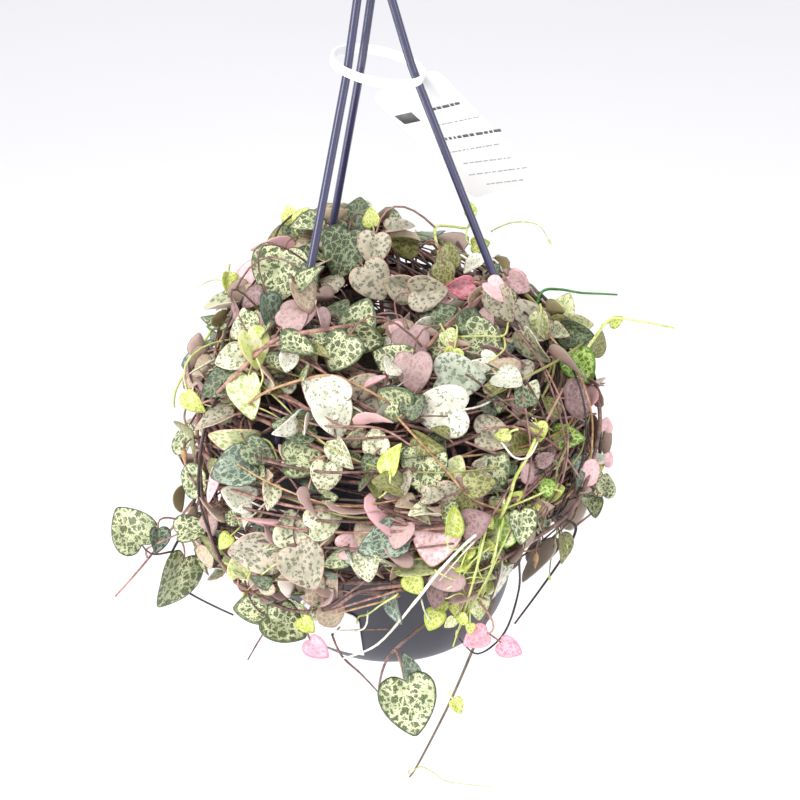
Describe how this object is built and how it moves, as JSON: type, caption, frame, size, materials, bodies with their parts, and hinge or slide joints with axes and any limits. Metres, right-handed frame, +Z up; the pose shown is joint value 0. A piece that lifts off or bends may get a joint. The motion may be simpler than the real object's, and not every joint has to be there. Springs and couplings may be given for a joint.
{
  "type": "string of hearts plant in a hanging pot",
  "caption": "Trailing plant with marbled heart-shaped leaves on thin stems wound round a dark plastic pot, hung from a hook on three plastic legs with a bare loop tag.",
  "frame": {"origin": "inside top of the hook, where the rod or ceiling hook that holds it touches", "axes": "+Z up through the hook and the pot's axis, -Y towards the front with the pot's label, +X to the right"},
  "size_m": [0.2559, 0.21, 0.4208],
  "materials": {
    "pot_plastic": "satin injection-moulded polypropylene, anthracite",
    "hanger_plastic": "semi-gloss moulded plastic, dark grey-violet",
    "soil": "loose dark peat potting mix",
    "paper": "smooth coated label stock, bare",
    "foliage": "waxy leaves marbled green, cream and pink on purple-brown stems"
  },
  "bodies": {
    "root": {"pot": "pot_plastic", "soil": "soil", "pot_label": "paper", "hook": "hanger_plastic", "leg_right": "hanger_plastic", "leg_front": "hanger_plastic", "leg_back": "hanger_plastic", "tag": "paper", "vine_01": "foliage", "vine_02": "foliage", "vine_03": "foliage", "vine_04": "foliage", "vine_05": "foliage", "vine_06": "foliage", "vine_07": "foliage", "vine_08": "foliage", "vine_09": "foliage", "vine_10": "foliage", "vine_11": "foliage", "vine_12": "foliage", "vine_13": "foliage", "vine_14": "foliage", "vine_15": "foliage", "vine_16": "foliage", "vine_17": "foliage", "vine_18": "foliage", "vine_19": "foliage"}
  },
  "joints": []
}
